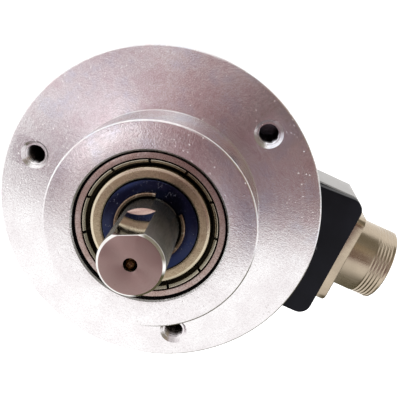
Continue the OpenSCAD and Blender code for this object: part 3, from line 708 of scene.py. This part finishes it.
# ---------------------------------------------------------------- the flange with its collar
def build_flange():
    """Turned in one piece: bore, collar, rim, housing seat and pilot, then drilled and tapped."""
    seat_r = BEARING_R + 0.01
    web_r, web_low, web_high = 11, -2.8, 1.2
    body_r, body_low = 26, -12
    pilot_r, pilot_low = 23.5, -16
    seal_r, seal_low, seal_high = 22.3, -14.4, -12.8
    pocket_r, pocket_high = 19, -13
    outline = soften([
        (web_r, web_low), (web_r, web_high, 0.1), (seat_r, web_high), (seat_r, COLLAR_H - 0.25, 0.05),
        (13.3, COLLAR_H, 0.06), (COLLAR_R, COLLAR_H, 0.38), (COLLAR_R, 0, 0.12), (FLANGE_R, 0, 0.30),
        (FLANGE_R, -FLANGE_T, 0.30), (body_r, -FLANGE_T), (body_r, body_low), (pilot_r, body_low),
        (pilot_r, seal_high), (seal_r, seal_high), (seal_r, seal_low), (pilot_r, seal_low),
        (pilot_r, pilot_low, 0.15), (pocket_r, pilot_low), (pocket_r, pocket_high), (seat_r, pocket_high),
        (seat_r, web_low)], 5)
    flange = lathe("flange_turned", outline, 256)
    cuts = []
    for angle in HOLE_ANGLES:
        centre = at(HOLE_R, angle)
        cuts.append(threaded("thread", HOLE_THREAD_R, -8.0, 0.5, 0.7, 0.33, about("Z", *centre), 56, 8, 0.4))
        cuts.append(rod("sink", 2.75, -0.50, 0.2, centre, 72, tip=HOLE_THREAD_R))
        cuts.append(rod("column_hole", 1.5, -17, -9.5, at(COLUMN_R, angle)))
    for angle in POST_ANGLES:
        cuts.append(rod("post_hole", 1.0, -17, -12, at(POST_R, angle)))
    combine(flange, cuts)
    finish_piece(flange, "housing", "flange_aluminium", "flange")


# ---------------------------------------------------------------- the shaft and its snap ring
def build_shaft():
    """Ground shaft with two ring grooves, chamfered ends, a centre hole, grub dimples and a milled flat."""
    top = SHAFT_TOP
    low = shaft_low.z
    outline = soften([
        (0, low), (SHAFT_R - 0.4, low), (SHAFT_R, low + 0.4, 0.1), (SHAFT_R, -13.1), (4.6, -13.1),
        (4.6, -12.0), (SHAFT_R, -12.0), (SHAFT_R, 9.2, 0.04), (4.75, 9.2), (4.75, 9.9), (SHAFT_R, 9.9, 0.04),
        (SHAFT_R, top - 0.42, 0.12), (SHAFT_R - 0.42, top, 0.08), (1.06, top, 0.05), (0.92, top - 0.3, 0.1),
        (0.90, top - 4), (0, top - 4.9)], 4)
    shaft = lathe("shaft_ground", outline, 160)
    cuts = [lathe("dimple", [(0, 4.7), (0.9, 4.7), (1.0, 6.0), (0, 6.0)], 24, about(axis, 0.0, GRUB_Z))
            for axis in ("X", "Y")]
    out = Vector(at(1, FLAT_ANGLE))

    def across_flat(a, b, h):
        """Places the cutter's outline in the plane through the shaft's axis that is square to the flat."""
        return (a * out.x - h * out.y, a * out.y + h * out.x, b)

    cuts.append(slab("flat", [(FLAT_OUT, FLAT_LOW), (SHAFT_R + 2, FLAT_LOW), (SHAFT_R + 2, top + 0.3),
                              (FLAT_OUT - 0.40, top + 0.3), (FLAT_OUT, top - 0.10)],
                     -SHAFT_R, SHAFT_R, where=across_flat))
    combine(shaft, cuts)
    tidy(shaft, math.radians(20))
    finish_piece(shaft, "rotor", "shaft_steel", "shaft")


def build_snap_ring():
    """Stamped split ring with rolled edges and a wide gap."""
    low, high = snap_low.z, snap_high.z
    outline = soften([(4.8, low, 0.12), (6.0, low, 0.12), (6.0, high - 0.12, 0.2), (5.8, high, 0.12),
                      (4.8, high - 0.36, 0.1)], 4)
    half = math.radians(27)
    start = math.radians(SNAP_GAP_ANGLE) + half
    ring = lathe("snap_ring_rolled", outline, 120, sweep=TURN - 2 * half, start=start)
    finish_piece(ring, "rotor", "spring_steel", "shaft_snap_ring")


# ---------------------------------------------------------------- the ball bearings
def race(radius, height):
    """Outline of the ball groove in a bearing ring whose shoulder has that radius, from low to high."""
    side = math.copysign(1, radius - BALL_CIRCLE_R)
    start = math.acos(abs(radius - BALL_CIRCLE_R) / GROOVE_R)
    turns = [start * (2 * k / 14 - 1) for k in range(15)]
    return [(BALL_CIRCLE_R + side * GROOVE_R * math.cos(turn), height + GROOVE_R * math.sin(turn))
            for turn in turns]


def build_rings(side):
    """The bearing's outer ring, with a seat for each shield, and its inner ring."""
    z = BEARING_Z[side]
    low, high = z - BEARING_HALF, z + BEARING_HALF
    upper = soften([(BEARING_R, low, 0.4), (BEARING_R, high - 0.9), (12.62, high, 0.1), (11.64, high, 0.06),
                    (11.46, high - 0.3), (11.42, z + SHIELD_SEAT), (OUTER_SHOULDER, z + SHIELD_SEAT)], 6)
    lower = [(OUTER_SHOULDER, z - SHIELD_SEAT), (11.42, z - SHIELD_SEAT), (11.46, low + 0.3), (11.64, low)]
    groove = list(reversed(race(OUTER_SHOULDER, z)))
    outer = lathe(side + "_outer_race", upper + groove + lower, 200)
    finish_piece(outer, "housing", "bearing_steel", side + "_bearing_outer_ring")
    bore_r = SHAFT_R + 0.01
    bore = soften([(INNER_SHOULDER, high, 0.15), (bore_r, high, 0.3), (bore_r, low, 0.3),
                   (INNER_SHOULDER, low, 0.15)], 5)
    inner = lathe(side + "_inner_race", bore + race(INNER_SHOULDER, z), 160)
    finish_piece(inner, "rotor", "inner_ring_steel", side + "_bearing_inner_ring")


def notch_cutter(z, facing):
    """The bars that notch a shield's rim, on the bearing's upper (1) or lower (-1) side."""
    bars = []
    low, high = sorted((z + facing * (SHIELD_SEAT - 0.1), z + facing * 4.4))
    for k in range(NOTCHES):
        angle = facing * (14.5 + k * 360 / NOTCHES)
        out, across = Vector(at(1, angle)), Vector(at(1, angle + 90))
        base = [out * r + across * w for r, w in ((10.5, -0.21), (11.6, -0.25), (11.6, 0.25), (10.5, 0.21))]
        bars.append(slab("slot", [tuple(p) for p in base], low, high))
    return merged("slots", bars)


def build_shields(side):
    """The two pressed shields and the rolled rims that hold them, all notched round their edge."""
    z = BEARING_Z[side]
    seat = SHIELD_SEAT
    dome = soften([
        (11.38, seat), (11.38, seat + 0.18), (10.4, seat + 0.18, 0.12), (10.26, 3.30, 0.1),
        (10.02, 3.71, 0.2), (9.56, 3.84, 0.5), (8.42, 3.84, 0.12), (8.15, 3.72, 0.08), (8.15, 3.6),
        (9.50, 3.66, 0.4), (9.90, 3.54, 0.1), (10.08, 3.24, 0.1), (10.2, seat, 0.1)], 5)
    lip = soften([(10.94, seat + 0.2), (11.14, seat + 0.2), (11.2, 3.5), (11.38, 3.92, 0.05),
                  (11.28, 3.98, 0.05), (10.88, 3.66, 0.1)], 3)
    shields, lips = [], []
    for facing in (1, -1):
        shield = lathe("shield", [(r, z + facing * h) for r, h in dome], 200)
        rim = lathe("lip", [(r, z + facing * h) for r, h in lip], 264)
        shields.append(combine(shield, [notch_cutter(z, facing)]))
        lips.append(combine(rim, [notch_cutter(z, facing)]))
    pressed = merged(side + "_pressed_shields", shields)
    finish_piece(pressed, "housing", "shield_zinc", side + "_bearing_shields")
    notched = merged(side + "_notched_rims", lips)
    finish_piece(notched, "housing", "retainer_steel", side + "_bearing_shield_rings")


# ---------------------------------------------------------------- the housing and the connector
def boss_outline(radius):
    """Plan of the housing ring and the connector boss, anticlockwise; one side stands in at its root."""
    first = math.asin((BOSS_HALF - BOSS_DRAFT) / radius)
    sweep = TURN - first - math.asin(BOSS_HALF / radius)
    turns = [first + sweep * k / 150 for k in range(151)]
    outline = [(radius * math.cos(turn), radius * math.sin(turn)) for turn in turns]
    for side, turn in ((-1, -90), (1, 0)):
        centre = Vector((BOSS_X - BOSS_CORNER, side * (BOSS_HALF - BOSS_CORNER)))
        outline += [tuple(centre + Vector(at(BOSS_CORNER, turn + 90 * k / 10))) for k in range(11)]
    return outline


def build_housing():
    """Black moulded ring and, on one side of it, the flat plate over the connector's boss."""
    low, high = housing_low.z, housing_high.z
    housing = slab("housing_moulded", boss_outline(25.95), low, BOSS_TOP, 0.22, 4)
    ring = lathe("ring", soften([(22.5, low), (26, low, 0.2), (26, high, 0.2), (22.5, high)], 4), 192)
    combine(housing, [ring], "UNION")
    combine(housing, [rod("bore", 23.52, -19, -11, steps=192)])
    finish_piece(housing, "housing", "black_plastic", "connector_housing")


def build_connector():
    """Square plate with four countersunk screw holes and a barrel threaded near its mouth."""
    half, end, inner_r = PLATE_HALF, BARREL_END, 5
    corners = [(-half, -half, 2), (half, -half, 2), (half, half, 2), (-half, half, 2)]
    shell = slab("connector_shell_turned", soften(corners, 8), shell_low.x, PLATE_END, 0.25, 3, facing_x)
    barrel = soften([(inner_r, PLATE_END - 1), (BARREL_R, PLATE_END - 1), (BARREL_R, 45.6, 0.1), (7.6, 45.8),
                     (inner_r, 45.8)], 3)
    rim = soften([(inner_r, end - 0.7), (7.80, end - 0.7), (7.80, end - 0.25, 0.1), (7.6, end, 0.1),
                  (inner_r, end)], 3)
    combine(shell, [
        lathe("barrel", barrel, 160, along_x),
        threaded("thread", BARREL_R, 45.4, end - 0.25, 0.75, 0.13, along_x, 128, 10, 1.2),
        lathe("rim", rim, 128, along_x),
    ], "UNION")
    back = 36
    mouth = soften([(0, back), (MOUTH_R, back), (MOUTH_R, end - 0.3, 0.1), (7.05, end + 0.15),
                    (0, end + 0.15)], 3)
    cuts = [lathe("bore", mouth, 128, along_x)]
    screw_hole = [(0, back), (1.3, back), (1.3, PLATE_END - 1.2), (2.4, PLATE_END - 0.05),
                  (2.5, PLATE_END + 0.2), (0, PLATE_END + 0.2)]
    for y in (-PLATE_SCREW, PLATE_SCREW):
        for z in (-PLATE_SCREW, PLATE_SCREW):
            cuts.append(lathe("screw_hole", screw_hole, 48, about("X", y, CONNECTOR_Z + z)))
    combine(shell, cuts)
    finish_piece(shell, "housing", "connector_nickel", "connector_shell")


build_flange()
build_shaft()
build_snap_ring()
for bearing_side in SIDES:
    build_rings(bearing_side)
    build_shields(bearing_side)
build_housing()
build_connector()
for node_name, piece_name, slot_name, edge in (
    ("rear_cover", "rear_cover_moulded", "cover_grey", 0.35),
    ("cover_screws", "cover_screws_headed", "screw_steel", 0.15),
    ("connector_insert", "connector_insert_moulded", "black_plastic", 0.15),
    ("connector_screws", "connector_screws_headed", "screw_steel", 0.08),
):
    finish_piece(bevelled(node_name, piece_name, edge), "housing", slot_name, node_name)


# ---------------------------------------------------------------- floor, lights and camera
def stage_floor():
    """A plain white light table under the rear face; polished metal mirrors the room instead of it."""
    half = 3.0
    mesh = bpy.data.meshes.new("floor")
    corners = [(-half, -half, 0), (half, -half, 0), (half, half, 0), (-half, half, 0)]
    mesh.from_pydata(corners, [], [(0, 1, 2, 3)])
    floor = placed("floor", mesh)
    floor.location.z = cad_low.z
    floor.visible_glossy = False
    made = Recipe("floor_paper", (0.86, 0.86, 0.86), Roughness=0.9, Emission_Strength=0.55,
                  Emission_Color=(1, 1, 1, 1))
    made.feed("Base Color", made.mix(made.noise(40.0, 3.0), (0.85, 0.85, 0.85), (0.88, 0.88, 0.875)))
    mesh.materials.append(made.material)


# Clouds on the reflection card: centre x and y, radius of the full tone, radius where it ends, tone.
CARD_CLOUDS = (
    (-50, -4, 8, 38, (0.90, 0.78, 0.84)),
    (-27, 6, 3, 13, (0.62, 0.47, 0.51)),
    (-14, 18, 3, 18, (0.56, 0.34, 0.34)),
    (24, 15, 4, 18, (0.27, 0.20, 0.205)),
    (6, 3, 3, 14, (0.15, 0.115, 0.125)),
    (16, -4, 3, 13, (0.21, 0.15, 0.155)),
    (8, 12, 5, 15, (0.13, 0.035, 0.035)),
    (31, -10, 3, 15, (0.20, 0.14, 0.15)),
    (43, -15, 5, 14, (0.21, 0.22, 0.29)),
    (-61, -41, 5, 19, (0.22, 0.17, 0.22)),
    (-31, -13, 6, 18, (2.2, 2.15, 2.17)),
    (0, 53, 6, 18, (0.9, 0.89, 0.87)),
    (-34, 38, 6, 18, (1.3, 1.28, 1.28)),
    (34, 32, 7, 20, (0.06, 0.065, 0.045)),
    (-2, -40, 9, 15, (0.30, 0.195, 0.185)),
    (100, 110, 40, 70, (0.44, 0.36, 0.25)),
    (94, 30, 24, 50, (0.24, 0.155, 0.115)),
)


def reflection_card():
    """A mauve card level with the lens, seen only in polished metal, with light and dark clouds on it."""
    height = 112
    corners = [(-78, -66), (-15, -40), (-14, -45.5), (9, -45.5), (13, -35), (58, -30), (125, 6), (125, 160),
               (20, 160), (-20, 75), (-78, 60)]
    mesh = bpy.data.meshes.new("reflection_card")
    mesh.from_pydata([(x * MM, y * MM, height * MM) for x, y in corners], [], [tuple(range(len(corners)))])
    card = placed("reflection_card", mesh)
    card.visible_camera = False
    card.visible_diffuse = False
    card.visible_shadow = False
    card.visible_transmission = False
    made = Recipe("card_glow", (0, 0, 0))
    colour = (0.31, 0.19, 0.20)
    for x, y, inner, outer, tone in CARD_CLOUDS:
        distance = made.vector("DISTANCE", made.place, (x * MM, y * MM, height * MM)).outputs["Value"]
        colour = made.mix(made.span(distance, inner * MM, outer * MM, 1.0, 0.0), colour, tone)
    glow = made.add("ShaderNodeEmission", {"Color": colour, "Strength": 1.0})
    output = made.tree.nodes["Material Output"]
    made.tree.links.new(glow.outputs[0], output.inputs["Surface"])
    mesh.materials.append(made.material)


def world_light():
    """A bright room with a dark wall towards +X and +Y and a dark corner towards -Y.

    Only polished metal sees them; the camera sees plain white, and other surfaces get an even light.
    """
    world = bpy.data.worlds.new("studio")
    world.use_nodes = True
    bpy.context.scene.world = world
    world.node_tree.nodes.clear()
    made = Nodes(world.node_tree)
    direction = made.add("ShaderNodeTexCoord").outputs["Generated"]
    aside = made.vector("DOT_PRODUCT", direction, (0.6, 0.8, 0)).outputs["Value"]
    parts = made.add("ShaderNodeSeparateXYZ", {0: direction}).outputs
    wall = made.both(made.span(aside, 0.60, 0.80), made.span(parts["Z"], -0.12, 0.0))
    corner = made.both(made.span(parts["Y"], -0.10, -0.35), made.span(parts["Z"], 0.80, 0.35))
    corner = made.both(corner, made.span(parts["X"], 0.18, 0.28))
    room = made.mix(wall, (1.25, 1.24, 1.23), (0.26, 0.235, 0.18))
    room = made.mix(corner, room, (0.11, 0.10, 0.05))
    seen = made.add("ShaderNodeLightPath").outputs
    room = made.mix(seen["Is Glossy Ray"], (0.95, 0.95, 0.95), room)
    white = made.mix(seen["Is Camera Ray"], room, (1, 1, 1))
    background = made.add("ShaderNodeBackground", {"Color": white, "Strength": 1.0})
    output = made.add("ShaderNodeOutputWorld")
    made.tree.links.new(background.outputs[0], output.inputs["Surface"])


def overhead_light():
    """A large soft light above the object, which polished metal doesn't mirror."""
    data = bpy.data.lights.new("overhead", "AREA")
    data.size = 1.6
    data.energy = 12.0
    light = placed("overhead", data)
    light.location = (0.0, -0.1, 1.2)
    light.rotation_euler = (-light.location).to_track_quat("-Z", "Y").to_euler()
    light.visible_camera = False
    light.visible_glossy = False


def photo_camera():
    """The lens a hand's width above the shaft end, rolled a little, looking down past the connector."""
    back = Vector((-0.0393, 0.2916, 0.9557)).normalized()
    up = Vector((-0.4125, 0.8664, -0.2814))
    right = up.cross(back).normalized()
    up = back.cross(right)
    data = bpy.data.cameras.new("camera")
    data.sensor_width = 36.0
    data.lens = 57.2
    data.clip_start = 0.001
    data.clip_end = 20.0
    camera = placed("camera", data)
    turn = Matrix((right, up, back)).transposed().to_4x4()
    camera.matrix_world = Matrix.Translation((0.00166, 0.0379, 0.10779)) @ turn
    bpy.context.scene.camera = camera


stage_floor()
reflection_card()
world_light()
overhead_light()
photo_camera()
bpy.context.scene.view_settings.view_transform = "Standard"
